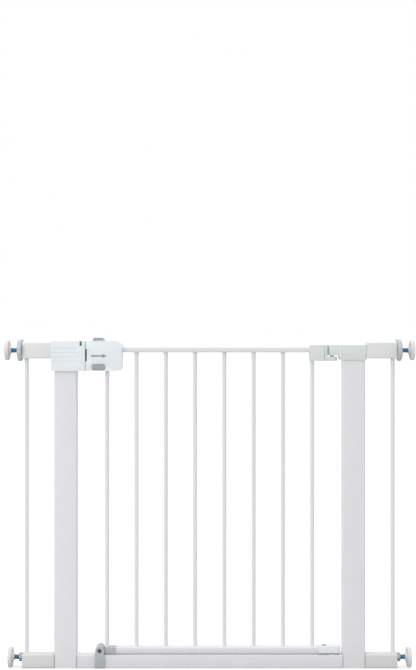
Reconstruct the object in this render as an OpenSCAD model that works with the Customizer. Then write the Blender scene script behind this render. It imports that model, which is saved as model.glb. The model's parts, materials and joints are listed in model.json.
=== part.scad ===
// Pressure-mounted safety gate: a steel U frame, a barred door that swings on two pins,
// a two-action latch in a handle, a narrow extension on each side and four wall spindles.
// +X points to the hinge side, +Y away from the user, +Z up. Millimetres.

/* [Frame] */
// Overall width of the steel U frame, without extensions
frame_w = 677; // [560:1:900]
// Height of the frame's posts
post_h = 698; // [560:1:900]
// Width of a post seen from the front
post_w = 50; // [40:1:70]
// Depth of the posts and the threshold
post_d = 25; // [21:0.5:32]
// Height of the threshold bar
threshold_h = 28.5; // [24:0.5:36]
// Wall of the steel tubes
tube_wall = 1.5; // [1:0.1:2.5]
// Outer edge radius of the steel tubes
tube_r = 4; // [2:0.5:6]

/* [Door] */
// Number of upright bars in the door
bar_count = 8; // [5:1:10]
// Diameter of every upright bar
bar_d = 9; // [7:0.1:11]
// Wall of the bars, which are tubes
bar_wall = 1.2; // [0.8:0.1:2]
// Height of the door's two rails
rail_h = 11; // [10:0.5:14]
// Depth of the door's two rails
rail_d = 20; // [17:0.5:24]
// Gap between the threshold and the bottom rail
door_gap = 5.5; // [4.8:0.1:9]
// Distance from the hinge axis to the hinge post
hinge_inset = 21.5; // [20:0.1:26]
// Diameter of the two hinge pins
pin_d = 8; // [6:0.1:10]

/* [Handle and latch] */
// Length of the door's handle housing
handle_len = 78.5; // [70:0.5:100]
// Height of the handle housing and of the latch cap
shell_h = 65; // [60:0.5:80]
// Depth of the handle housing and of the latch cap
shell_d = 38; // [34:0.5:46]
// Wall of the moulded housings
shell_wall = 2.2; // [1.6:0.1:3]
// Gap between the latch cap and the handle
parting = 1.2; // [0.9:0.1:2]
// Height of the latch bolt
bolt_h = 27.5; // [20:0.5:30]
// How far the bolt reaches into the latch cap
bolt_reach = 8.6; // [7:0.1:9]
// Sideways travel of the bolt and its thumb slide
bolt_travel = 8; // [6:0.1:8]
// Width of the push button
button_w = 28; // [22:0.5:30]
// Height of the push button
button_h = 12.6; // [11:0.2:15]
// Inward travel of the push button
button_travel = 3; // [2:0.1:4]

/* [Extensions and spindles] */
// Length of an extension beyond the frame
ext_len = 69.6; // [64:0.1:120]
// Height of the upper extension brackets
arm_h_top = 35; // [30:0.5:44]
// Depth of the extension brackets
arm_d = 27; // [25:0.5:34]
// Thread diameter of the spindles
spindle_d = 10; // [8:0.1:12]
// Spindle shown between bracket and pad face, upper pair
show_top = 37.3; // [35:0.1:70]
// Spindle shown between bracket and pad face, lower pair
show_low = 30.3; // [30:0.1:60]
// Diameter of the wall pads
pad_d = 43; // [34:0.5:43]
// Diameter of the hand wheels on the upper spindles
wheel_d = 47.5; // [46:0.5:56]
// Width across the flats of the nuts on the lower spindles
nut_flats = 17; // [15:0.5:20]

/* [Bottom stop] */
// Width of the stop that straddles the threshold
stop_w = 21; // [20:0.5:30]
// Radius of the stop's rounded top
stop_r = 9.6; // [9.4:0.1:12]

/* [Hidden] */
$fn = 64;
eps = 0.01;

// Clearances
run_gap = 0.06;       // round running fits, per side
free_gap = 0.4;       // sliding parts that must never touch
fit_gap = 0.1;        // parts of one assembly that seat in each other
face_gap = 0.3;       // faces of two moving parts that meet

// Frame stations
frame_x = frame_w / 2;
post_in = frame_x - post_w;
hinge_x = post_in - hinge_inset;
top_z = post_h + 13;
shell_low = top_z - shell_h;
cap_past_post = 5.9;
cap_over_door = 18.1;
cap_x0 = -frame_x - cap_past_post;
cap_x1 = -post_in + cap_over_door;
handle_x0 = cap_x1 + parting;
handle_x1 = handle_x0 + handle_len;
first_bar_in = 45.45;
last_bar_in = 43.25;
bar_first = handle_x0 + first_bar_in;
bar_last = hinge_x - last_bar_in;
bar_pitch = (bar_last - bar_first) / (bar_count - 1);
plug_h = 7;
plug_t = 2;

// Door rails
rail_wall = 1.2;
rail_r = 2.5;
top_rail_z = post_h - rail_h;
low_rail_z = threshold_h + door_gap;
rail_left = bar_first - bar_d / 2 - 1.75;
bar_seat = 3;
tongue_len = 25;
tongue_x = bar_first - bar_d / 2 - 0.45;
low_rail_left = tongue_x + tongue_len;
tongue_seat = 7;

// Upper hinge
hinge_top = post_h + 4.4;
cover_x0 = bar_last - bar_d / 2 - 1.1;
foot_r = 10.8;
foot_t = 5.5;
foot_x1 = hinge_x - foot_r - 0.3;
foot_x0 = foot_x1 - foot_t;
foot_low = post_h - 30;
foot_high = foot_low + 9.3;
knuckle_r = 9.8;
knuckle_low = foot_high + 2.7;
cover_d = rail_d + 4;
hinge_cap_wall = 2.2;
hinge_cap_x0 = post_in - 6.8;
hinge_cap_x1 = frame_x + hinge_cap_wall;
hinge_cap_d = post_d + 2 * (hinge_cap_wall + fit_gap);
hinge_cap_low = post_h - 28.2;
pin_depth = foot_high - foot_low - 2.3;
hinge_screw_z = post_h - 20;
hinge_screw_x = [post_in + 13, post_in + 37];
cover_screw_x = cover_x0 + 17;

// Lower hinge
base_t = 1.6;
washer_t = 2.1;
low_cap_x0 = hinge_x - 29.7;
low_cap_x1 = hinge_x + 17.3;
low_cap_z0 = low_rail_z - 1.5;
low_cap_z1 = low_rail_z + rail_h + 2;
low_cap_d = rail_d + 4;
low_cap_r = 8;
cap_screw_x = low_cap_x0 + 12;
low_head_d = 10.6;
low_rail_end = hinge_x - pin_d / 2 - 7;

// Latch
bolt_z = top_z - 30.25;
bolt_d = 16;
bolt_tip_d = 12;
bolt_body_len = 24;
notch_w = shell_wall + 0.4;
bolt_x0 = handle_x0 + notch_w + 0.6;
bolt_x1 = bolt_x0 + bolt_body_len;
bolt_tip_x = cap_x1 - bolt_reach;
rib_t = 2;
spring_rib_x = bolt_x1 + bolt_travel + 1;
bolt_spring_r = 2.9;
bolt_pocket_d = 7.6;
bolt_pocket_len = 14;
stem_x0 = bolt_x0 + 14;
stem_len = 8;
stem_d = 6;
stem_low = bolt_z + 7.25;
slide_len = 26;
slide_d = 22;
slide_h = 7.2;
slide_x0 = stem_x0 - 3.2;
scoop_in = 3.4;
scoop_slope = 3.4;
slide_ledge = 1.6;
slot_x0 = stem_x0 - free_gap;
slot_x1 = stem_x0 + stem_len + bolt_travel + free_gap;
button_x = handle_x0 + 27.9;
button_z = shell_low + 9;
button_r = 4.6;
button_proud = 1.6;
flange_w = 1.2;
flange_t = 1.5;
button_back = -shell_d / 2 + shell_wall + face_gap + flange_t;
button_stem_d = 6;
button_boss_y = -3;
button_stem_end = button_boss_y - button_travel - 2;
button_spring_r = 4;
screw_d = 3;
screw_head_d = 5.6;
screw_head_h = 2;
pan_head_d = 6;
pan_head_h = 1.8;
boss_d = 7.2;
sink = 3.2;
// a boss beside a wall runs into it by 0.6
boss_in = shell_wall + boss_d / 2 - 0.6;
handle_screw_sites = [
    [handle_x0 + boss_in, shell_low + 10], [handle_x1 - 9, shell_low + 10],
    [handle_x1 - 12, top_z - boss_in], [handle_x0 + boss_in, top_z - boss_in]
];
cap_screw_sites = [[cap_x1 - 8.5, shell_low + 7], [-frame_x + 8, top_z - boss_in]];

groove_count = 4;
groove_pitch = 9.3;
groove_top = 15.3;
groove_h = 1.8;
groove_deep = 0.8;
groove_in = 2;
groove_len = 56;

// Keeper and indicator
keeper_rim = 3;
window_x0 = cap_x1 - 11.6;
window_w = 4.8;
window_z = top_z - 10.2;
window_back = -9;
window_t = 1.6;
flag_travel = 5;
flag_x1 = window_x0 + window_w + 0.2;
flag_x0 = flag_x1 - window_w - flag_travel - 0.5;
flag_front = -shell_d / 2 + shell_wall + 0.5;
flag_top = top_z - shell_wall - 0.5;
flag_back = 5;
flag_t = 1.4;
flag_low = post_h + 1.5;
leg_x1 = bolt_tip_x - free_gap;
leg_t = 2.1;
tail_x0 = flag_x0 - 12.8;
flag_spring_x = tail_x0 - 14;
flag_spring_z = post_h + 6;

// Extensions and spindles
ext_end = frame_x + ext_len;
arm_wall = 2.2;
arm_r = 3;
arm_end_wall = 4;
spindle_top_z = post_h - 7;
spindle_low_z = pad_d / 2 + 0.5;
arm_top_z = spindle_top_z - arm_h_top / 2;
arm_low_z = 0.5;
arm_h_low = spindle_low_z + spindle_d / 2 + 0.8 + arm_wall - arm_low_z;
ext_bar_x = ext_end - arm_end_wall - bar_d / 2 - 0.2;
stud_d = 14;
stud_in = 12;
stud_head_d = 20;
stud_head_t = 1.6;
stud_low_z = arm_low_z + arm_h_low / 2;
spindle_in = ext_len - 24.2;
pad_t = 8;
neck_len = 4.5;
neck_d0 = 18;
neck_d1 = 14.5;
pad_edge = 1.4;
wheel_t = 10.2;
nut_t = 7;
scallops = 10;

// Bottom stop
stop_x = tongue_x - 0.7 - stop_r;
stop_pivot_z = threshold_h + 10;
stop_cheek = 4.3;
stop_cheek_low = 2.8;
stop_shoulder = threshold_h - 2.8;
stop_y = post_d / 2 + stop_cheek;
mouth_x0 = tongue_x - 6.2;
mouth_z0 = low_rail_z - 0.9;
mouth_z1 = low_rail_z + 8.2;
mouth_y0 = -post_d / 2 - 0.2;
stop_screw_d = 4;
stop_head_d = 8.2;
stop_head_h = 2.2;
stop_recess_d = 9.2;
stop_nut_flats = 7;

// Solids placed by their limits
module block(x0, x1, y0, y1, z0, z1) {
    translate([x0, y0, z0]) cube([x1 - x0, y1 - y0, z1 - z0]);
}
module rod_x(x0, x1, d, z) {
    translate([x0, 0, z]) rotate([0, 90, 0]) cylinder(d = d, h = x1 - x0);
}
module rod_y(x, y0, y1, d, z) {
    translate([x, y1, z]) rotate([90, 0, 0]) cylinder(d = d, h = y1 - y0);
}
module rod_z(x, z0, z1, d) {
    translate([x, 0, z0]) cylinder(d = d, h = z1 - z0);
}
// Extrudes an outline drawn in X and Z between two depths
module slab(y0, y1) {
    translate([0, y1, 0]) rotate([90, 0, 0]) linear_extrude(height = y1 - y0) children();
}
// Extrudes a section drawn in Y and Z between two stations
module run_x(x0, x1) {
    translate([x0, 0, 0]) rotate([90, 0, 90]) linear_extrude(height = x1 - x0) children();
}
// A rectangle from its lower left corner, each corner with its own radius
module corner_rect(w, h, low_left, low_right, top_right, top_left) {
    polygon([
        [low_left, 0], [w - low_right, 0], [w, low_right], [w, h - top_right],
        [w - top_right, h], [top_left, h], [0, h - top_left], [0, low_left]
    ]);
    translate([low_left, low_left]) circle(r = low_left);
    translate([w - low_right, low_right]) circle(r = low_right);
    translate([w - top_right, h - top_right]) circle(r = top_right);
    translate([top_left, h - top_left]) circle(r = top_left);
}
// An upright bar, which is a tube
module bar(x, z0, z1) {
    difference() {
        rod_z(x, z0, z1, bar_d);
        rod_z(x, z0 - 1, z1 + 1, bar_d - 2 * bar_wall);
    }
}
module round_rect(w, h, r) {
    translate([-w / 2, -h / 2]) corner_rect(w, h, r, r, r, r);
}
module tube_section(w, h, r, wall) {
    difference() {
        round_rect(w, h, r);
        round_rect(w - 2 * wall, h - 2 * wall, max(r - wall, 0.5));
    }
}
// Puts a left-hand piece on the right
module side(s) {
    if (s < 0) children();
    else mirror([1, 0, 0]) children();
}

// A round wire wound into a compression spring that stands along +Z
function coil_ring(a, r, wire, k, rise, sides) = [
    for (j = [0 : sides - 1])
        let (b = 360 * j / sides, q = wire / 2, u = cos(b), v = sin(b) / sqrt(1 + k * k))
            [
                (r + q * u) * cos(a) + q * v * k * sin(a),
                (r + q * u) * sin(a) - q * v * k * cos(a),
                rise * a / 360 + q * v
            ]
];
module coil(len, r, wire, turns) {
    sides = 8;
    rings = turns * 12;
    rise = (len - wire) / turns;
    k = rise / (2 * PI * r);
    points = [
        for (i = [0 : rings]) each coil_ring(360 * turns * i / rings, r, wire, k, rise, sides)
    ];
    skin = [
        for (i = [0 : rings - 1], j = [0 : sides - 1])
            let (a = i * sides, n = (j + 1) % sides)
                each [[a + j, a + n, a + sides + n], [a + j, a + sides + n, a + sides + j]]
    ];
    ends = [[for (j = [sides - 1 : -1 : 0]) j], [for (j = [0 : sides - 1]) rings * sides + j]];
    translate([0, 0, wire / 2]) polyhedron(points, concat(skin, ends));
}

// ---------------------------------------------------------------- frame
module post_tube() {
    linear_extrude(height = post_h) tube_section(post_w, post_d, tube_r, tube_wall);
}
module stud_holes(s) {
    for (z = [spindle_top_z, stud_low_z])
        side(s) rod_x(-frame_x - 1, -frame_x + tube_wall + 1, stud_d + fit_gap, z);
}
module left_post() {
    color("#e0e0e2") difference() {
        translate([-frame_x + post_w / 2, 0, 0]) post_tube();
        stud_holes(-1);
    }
}
module right_post() {
    color("#d9d8dd") difference() {
        translate([frame_x - post_w / 2, 0, 0]) post_tube();
        stud_holes(1);
        for (x = hinge_screw_x)
            rod_y(x, post_d / 2 - tube_wall - 1, post_d / 2 + 1, screw_d + 2 * fit_gap,
                hinge_screw_z);
    }
}
module threshold_bar() {
    color("#dcdbe0") difference() {
        translate([0, 0, threshold_h / 2]) run_x(-post_in, post_in)
            tube_section(post_d, threshold_h, tube_r / 2, tube_wall);
        rod_z(hinge_x, threshold_h - tube_wall - 1, threshold_h + 1, pin_d);
    }
}
module post_foot_plugs() {
    inner_w = post_w - 2 * tube_wall - fit_gap;
    inner_d = post_d - 2 * tube_wall - fit_gap;
    plug_r = max(tube_r - tube_wall, 0.5);
    color("#c9c9cc") for (s = [-1, 1])
        translate([s * (frame_x - post_w / 2), 0, 0]) difference() {
            linear_extrude(height = plug_h) round_rect(inner_w, inner_d, plug_r);
            translate([0, 0, plug_t]) linear_extrude(height = plug_h)
                round_rect(inner_w - 2 * plug_t, inner_d - 2 * plug_t, plug_r / 2);
        }
}

// ---------------------------------------------------------------- latch cap
module cap_outline(inset) {
    translate([cap_x0 + inset, shell_low + inset])
        corner_rect(cap_x1 - cap_x0 - 2 * inset, shell_h - 2 * inset, 2.4, 0.8, 0.8, 3);
}
module cap_screw_holes() {
    for (p = cap_screw_sites) {
        rod_y(p[0], -shell_d / 2 + 5, shell_d / 2 - sink, screw_d, p[1]);
        rod_y(p[0], shell_d / 2 - sink, shell_d / 2 + 1, screw_head_d + 0.6, p[1]);
    }
}
module cap_shell(y0, y1, in0, in1) {
    difference() {
        union() {
            difference() {
                slab(y0, y1) cap_outline(0);
                slab(in0, in1) cap_outline(shell_wall);
            }
            for (p = cap_screw_sites)
                rod_y(p[0], y0 + 1, y1 - (y1 > 0 ? 1 : 0), boss_d, p[1]);
            block(flag_spring_x - rib_t, flag_spring_x, max(y0 + 1, -6), min(y1, 6),
                post_h + 0.5, top_z - 1);
        }
        // the post passes up through the floor
        translate([-frame_x + post_w / 2, 0, shell_low - 1])
            linear_extrude(height = post_h + 0.2 - shell_low + 1)
                round_rect(post_w + 2 * fit_gap, post_d + 2 * fit_gap, tube_r + fit_gap);
        // the keeper sits in the end wall
        block(cap_x1 - shell_wall - 1, cap_x1 + 1, -bolt_tip_d / 2 - keeper_rim - 0.5,
            bolt_tip_d / 2 + keeper_rim + 0.5, bolt_z - bolt_h / 2 - keeper_rim - 0.5,
            bolt_z + bolt_h / 2 + keeper_rim + 0.5);
        rod_x(cap_x0 - 1, cap_x0 + shell_wall + 4, stud_d + 2 * fit_gap, spindle_top_z);
        cap_screw_holes();
        // the flag runs into a pocket in the end wall
        block(cap_x1 - shell_wall - 0.5, flag_x1 + flag_travel + free_gap,
            flag_front - free_gap / 2, flag_back + free_gap, flag_low - free_gap,
            flag_top + free_gap / 2);
    }
}
module latch_cap_front() {
    color("#e3e8ec") difference() {
        cap_shell(-shell_d / 2, 0, -shell_d / 2 + shell_wall, eps);
        window_blank();
        for (i = [0 : groove_count - 1])
            block(cap_x0 + groove_in, cap_x0 + groove_in + groove_len,
                -shell_d / 2 - 1, -shell_d / 2 + groove_deep,
                top_z - groove_top - groove_pitch * i - groove_h,
                top_z - groove_top - groove_pitch * i);
    }
}
module latch_cap_rear() {
    color("#e3e8ec") cap_shell(0, shell_d / 2, -eps, shell_d / 2 - shell_wall);
}
module shell_screw(p) {
    head_y = shell_d / 2 - sink;
    difference() {
        union() {
            rod_y(p[0], -shell_d / 2 + 7, head_y, screw_d, p[1]);
            rod_y(p[0], head_y, head_y + screw_head_h, screw_head_d, p[1]);
        }
        for (a = [0, 90])
            translate([p[0], head_y + screw_head_h, p[1]]) rotate([0, a, 0])
                cube([3.4, 2, 0.9], center = true);
    }
}
module latch_cap_screws() {
    color("#9aa0a6") for (p = cap_screw_sites) shell_screw(p);
}
module keeper_plate() {
    half_d = bolt_tip_d / 2;
    half_h = bolt_h / 2;
    color("#5b6065") difference() {
        union() {
            block(cap_x1 - shell_wall, cap_x1, -half_d - keeper_rim, half_d + keeper_rim,
                bolt_z - half_h - keeper_rim, bolt_z + half_h + keeper_rim);
            block(cap_x1 - shell_wall - 0.9, cap_x1 - shell_wall, -half_d - keeper_rim - 2,
                half_d + keeper_rim + 2, bolt_z - half_h - keeper_rim - 2,
                bolt_z + half_h + keeper_rim + 1);
        }
        block(cap_x1 - 5, cap_x1 + 1, -half_d - free_gap, half_d + free_gap,
            bolt_z - half_h - free_gap, bolt_z + half_h + free_gap);
    }
}
module window_blank() {
    block(window_x0, window_x0 + window_w, -shell_d / 2 - 1, window_back, window_z, top_z + 1);
}
module indicator_window() {
    color("#b9e0b0", 0.6) difference() {
        block(window_x0, window_x0 + window_w, -shell_d / 2, window_back, window_z, top_z);
        block(window_x0 - 1, window_x0 + window_w + 1, -shell_d / 2 + window_t, 0,
            window_z - 1, top_z - window_t);
    }
}
module indicator_flag() {
    color("#2f9010") {
        block(flag_x0, flag_x1, flag_front, flag_back, flag_top - flag_t, flag_top);
        block(flag_x0, flag_x1, flag_front, flag_front + flag_t, flag_low, flag_top - flag_t);
        block(leg_x1 - leg_t, leg_x1, -flag_back, flag_back, bolt_z + 1.5, flag_top - flag_t);
        block(tail_x0, flag_x0, -3, 3, flag_spring_z - 3, flag_top);
    }
}
module flag_spring() {
    color("#b8bcc0") translate([flag_spring_x, 0, flag_spring_z]) rotate([0, 90, 0])
        coil(tail_x0 - flag_spring_x, 2, 0.7, 4);
}

// ---------------------------------------------------------------- hinge post
module hinge_post_cap() {
    cap_w = hinge_cap_x1 - hinge_cap_x0;
    color("#d3d7d6") difference() {
        union() {
            translate([hinge_cap_x0 + cap_w / 2, 0, hinge_cap_low])
                linear_extrude(height = hinge_top - hinge_cap_low)
                    round_rect(cap_w, hinge_cap_d, 3);
            rod_z(hinge_x, knuckle_low, hinge_top, 2 * knuckle_r);
            block(hinge_x, hinge_cap_x0 + 4, -knuckle_r, knuckle_r, knuckle_low, hinge_top);
        }
        translate([frame_x - post_w / 2, 0, hinge_cap_low - 1])
            linear_extrude(height = post_h + 0.2 - hinge_cap_low + 1)
                round_rect(post_w + 2 * fit_gap, post_d + 2 * fit_gap, tube_r + fit_gap);
        rod_z(hinge_x, knuckle_low - 1, post_h + 2, pin_d);
        rod_x(frame_x - 2, hinge_cap_x1 + 1, stud_d + 2 * fit_gap, spindle_top_z);
        translate([hinge_cap_x0, 0, hinge_cap_low]) rotate([0, 45, 0])
            cube([5, 2 * hinge_cap_d, 5], center = true);
        for (x = hinge_screw_x)
            rod_y(x, post_d / 2, hinge_cap_d, screw_d + 2 * fit_gap, hinge_screw_z);
    }
}
module hinge_cap_screws() {
    head_y = hinge_cap_d / 2;
    color("#c7c9cb") for (x = hinge_screw_x) {
        rod_y(x, post_d / 2 - tube_wall - 3, head_y, screw_d, hinge_screw_z);
        rod_y(x, head_y, head_y + pan_head_h, pan_head_d, hinge_screw_z);
    }
}
module upper_hinge_pin() {
    color("#b9bec4") rod_z(hinge_x, foot_high - pin_depth + 0.5, post_h + 2, pin_d);
}
module lower_hinge_pin() {
    color("#b9bec4") rod_z(hinge_x, threshold_h - 6, low_cap_z1 - 3.5, pin_d);
}
module lower_hinge_base() {
    color("#c9c9cc") difference() {
        rod_z(hinge_x, threshold_h, threshold_h + base_t, 20);
        rod_z(hinge_x, threshold_h - 1, threshold_h + base_t + 1, pin_d);
    }
}
module lower_hinge_washer() {
    color("#2e2f31") difference() {
        rod_z(hinge_x, threshold_h + base_t, threshold_h + base_t + washer_t, 15);
        rod_z(hinge_x, threshold_h, threshold_h + base_t + washer_t + 1, pin_d + fit_gap);
    }
}

// ---------------------------------------------------------------- bottom stop
module stop_outline() {
    translate([stop_x - stop_w / 2, stop_cheek_low])
        corner_rect(stop_w, stop_shoulder - stop_cheek_low, 2, 2, 0.5, 0.5);
    translate([stop_x - stop_r, stop_shoulder - 0.5])
        square([2 * stop_r, stop_pivot_z - stop_shoulder + 0.5]);
    translate([stop_x, stop_pivot_z]) circle(r = stop_r);
}
module stop_jaw(y0, y1) {
    difference() {
        slab(y0, y1) stop_outline();
        block(stop_x - stop_w, stop_x + stop_w, -post_d / 2, post_d / 2, -1, threshold_h);
        block(mouth_x0, stop_x + stop_w, mouth_y0, stop_y + 1, mouth_z0, mouth_z1);
        rod_y(stop_x, -stop_y - 1, stop_y + 1, stop_screw_d + fit_gap, stop_pivot_z);
        rod_y(stop_x, -stop_y - 1, -stop_y + stop_head_h + 0.4, stop_recess_d, stop_pivot_z);
        translate([stop_x, stop_y + 1, stop_pivot_z]) rotate([90, 0, 0])
            cylinder(d = (stop_nut_flats + fit_gap) / cos(30), h = 4.4, $fn = 6);
    }
}
module stop_front_jaw() {
    color("#acb3b5") stop_jaw(-stop_y, 0);
}
module stop_rear_jaw() {
    color("#acb3b5") stop_jaw(0, stop_y);
}
module stop_screw() {
    seat_y = -stop_y + stop_head_h + 0.4;
    color("#d8dadb") difference() {
        union() {
            rod_y(stop_x, seat_y, stop_y - 0.6, stop_screw_d, stop_pivot_z);
            rod_y(stop_x, seat_y - stop_head_h, seat_y, stop_head_d, stop_pivot_z);
        }
        translate([stop_x, seat_y - 0.7, stop_pivot_z]) rotate([90, 0, 0])
            cylinder(d = 3 / cos(30), h = 3, $fn = 6);
    }
}
module stop_nut() {
    color("#b9bec4") difference() {
        translate([stop_x, stop_y - 0.2, stop_pivot_z]) rotate([90, 0, 0])
            cylinder(d = stop_nut_flats / cos(30), h = 3.2, $fn = 6);
        rod_y(stop_x, 0, stop_y + 1, stop_screw_d, stop_pivot_z);
    }
}

// ---------------------------------------------------------------- extensions
// Left-hand bracket; inner is the distance from the middle to its inner end
module bracket(inner, z0, h, spindle_z, stud_z, bar_z0, bar_z1) {
    difference() {
        translate([0, 0, z0 + h / 2]) run_x(-ext_end, -inner) round_rect(arm_d, h, arm_r);
        translate([0, 0, z0 + h / 2]) run_x(-ext_end + arm_end_wall, -inner - 2)
            round_rect(arm_d - 2 * arm_wall, h - 2 * arm_wall, arm_r - arm_wall);
        rod_x(-ext_end - 1, -ext_end + arm_end_wall + 1, spindle_d + 2 * run_gap, spindle_z);
        rod_x(-inner - 3, -inner + 1, stud_d + fit_gap, stud_z);
        rod_z(-ext_bar_x, bar_z0, bar_z1, bar_d + fit_gap);
    }
}
module top_bracket(inner) {
    bracket(inner, arm_top_z, arm_h_top, spindle_top_z, spindle_top_z, arm_top_z - 1,
        arm_top_z + arm_wall + 1);
}
module bottom_bracket(inner) {
    high = arm_low_z + arm_h_low;
    bracket(inner, arm_low_z, arm_h_low, spindle_low_z, stud_low_z, high - arm_wall - 0.5,
        high + 1);
}
module left_top_bracket() {
    color("#dee0df") top_bracket(-cap_x0);
}
module left_bottom_bracket() {
    color("#d3d3d3") bottom_bracket(frame_x);
}
module right_top_bracket() {
    color("#dee0df") side(1) top_bracket(hinge_cap_x1);
}
module right_bottom_bracket() {
    color("#d3d3d3") side(1) bottom_bracket(frame_x);
}
module extension_bar() {
    bar(-ext_bar_x, arm_low_z + arm_h_low - arm_wall, spindle_top_z - spindle_d / 2 - 2);
}
module left_extension_bar() {
    color("#e0e0e2") extension_bar();
}
module right_extension_bar() {
    color("#d3d2d7") side(1) extension_bar();
}
module stud(s, inner, z) {
    side(s) {
        rod_x(-inner - 2, -frame_x + stud_in, stud_d, z);
        rod_x(-inner - 2 - stud_head_t, -inner - 2, stud_head_d, z);
    }
}
module extension_studs() {
    color("#b9bec4") {
        stud(-1, -cap_x0, spindle_top_z);
        stud(1, hinge_cap_x1, spindle_top_z);
        for (s = [-1, 1]) stud(s, frame_x, stud_low_z);
    }
}

// ---------------------------------------------------------------- door
module rail(x0, x1, z0) {
    translate([0, 0, z0 + rail_h / 2]) run_x(x0, x1)
        tube_section(rail_d, rail_h, rail_r, rail_wall);
}
module door_top_rail() {
    color("#d6d5da") difference() {
        rail(rail_left, foot_x0, top_rail_z);
        for (i = [0 : bar_count - 1])
            rod_z(bar_first + i * bar_pitch, top_rail_z - 1, top_rail_z + rail_wall + 1,
                bar_d + fit_gap);
        rod_y(cover_screw_x, rail_d / 2 - 3, rail_d, screw_d + 2 * fit_gap,
            top_rail_z + rail_h / 2);
    }
}
module door_bottom_rail() {
    color("#d6d5da") difference() {
        rail(low_rail_left, low_rail_end, low_rail_z);
        for (i = [1 : bar_count - 1])
            rod_z(bar_first + i * bar_pitch, low_rail_z + rail_h - rail_wall - 1,
                low_rail_z + rail_h + 1, bar_d + fit_gap);
        rod_z(cap_screw_x, low_rail_z + rail_h - 2, low_rail_z + rail_h + 1,
            screw_d + 2 * fit_gap);
    }
}
module door_bars() {
    low = low_rail_z + rail_h;
    color("#dcdbe0") for (i = [0 : bar_count - 1])
        bar(bar_first + i * bar_pitch, low - (i == 0 ? tongue_seat : bar_seat),
            top_rail_z + bar_seat);
}
module door_tongue() {
    half = rail_d / 2 + 0.4;
    color("#9da5a8") difference() {
        union() {
            block(tongue_x, low_rail_left, -half, half, low_rail_z, low_rail_z + rail_h - 0.4);
            block(mouth_x0 + 1.2, tongue_x + 1, mouth_y0 + 0.9, rail_d / 2 - 1,
                mouth_z0 + 1.6, mouth_z1 - 1.2);
            translate([0, 0, low_rail_z + rail_h / 2]) run_x(low_rail_left - 1, low_rail_left + 16)
                round_rect(rail_d - 2 * rail_wall - fit_gap, rail_h - 2 * rail_wall - fit_gap,
                    rail_r - rail_wall);
        }
        rod_z(bar_first, low_rail_z + rail_h - tongue_seat, low_rail_z + rail_h + 1,
            bar_d + fit_gap);
    }
}
module upper_hinge_cover() {
    low = foot_low - 0.2;
    x1 = foot_x0 - 0.8;
    color("#d3d7d6") difference() {
        block(cover_x0, x1, -cover_d / 2, cover_d / 2, low, hinge_top);
        block(cover_x0 + 2, x1 + 1, -cover_d / 2 + 1.8, cover_d / 2 - 1.8, low + 2,
            hinge_top - 2);
        block(cover_x0 - 1, cover_x0 + 3, -rail_d / 2 - fit_gap, rail_d / 2 + fit_gap,
            top_rail_z - fit_gap, top_rail_z + rail_h + fit_gap);
        // the last bar stands partly in the cover's end wall
        rod_z(bar_last, low - 1, top_rail_z + 1, bar_d + 2 * fit_gap);
        rod_y(cover_screw_x, 0, cover_d, screw_d + 2 * fit_gap, top_rail_z + rail_h / 2);
    }
}
module hinge_cover_screws() {
    color("#c7c9cb") {
        rod_y(cover_screw_x, rail_d / 2 - 3, cover_d / 2, screw_d, top_rail_z + rail_h / 2);
        rod_y(cover_screw_x, cover_d / 2, cover_d / 2 + pan_head_h, pan_head_d,
            top_rail_z + rail_h / 2);
    }
}
module upper_hinge_foot() {
    half = knuckle_r + 1.4;
    color("#d3d7d6") difference() {
        union() {
            block(foot_x0, foot_x1, -half, half, foot_low, hinge_top);
            block(foot_x1 - 1, hinge_x, -foot_r, foot_r, foot_low, foot_high);
            rod_z(hinge_x, foot_low, foot_high, 2 * foot_r);
        }
        rod_z(hinge_x, foot_high - pin_depth, foot_high + 1, pin_d + 2 * run_gap);
    }
}
module lower_hinge_cap() {
    len = low_cap_x1 - low_cap_x0;
    color("#dfe3e8") difference() {
        translate([low_cap_x0, -low_cap_d / 2, low_cap_z0])
            linear_extrude(height = low_cap_z1 - low_cap_z0)
                corner_rect(len, low_cap_d, 1, low_cap_r, low_cap_r, 1);
        block(low_cap_x0 - 1, low_rail_end + fit_gap, -rail_d / 2 - fit_gap,
            rail_d / 2 + fit_gap, low_rail_z - fit_gap, low_rail_z + rail_h + fit_gap);
        rod_z(hinge_x, low_cap_z0 - 1, low_cap_z1 - 3, pin_d + 2 * run_gap);
        rod_z(cap_screw_x, low_cap_z1 - 4, low_cap_z1 + 1, screw_d + 2 * fit_gap);
    }
}
module lower_cap_screw() {
    color("#d6d9dd") {
        rod_z(cap_screw_x, low_rail_z + rail_h - 5, low_cap_z1, screw_d);
        rod_z(cap_screw_x, low_cap_z1, low_cap_z1 + pan_head_h, low_head_d);
    }
}

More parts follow.
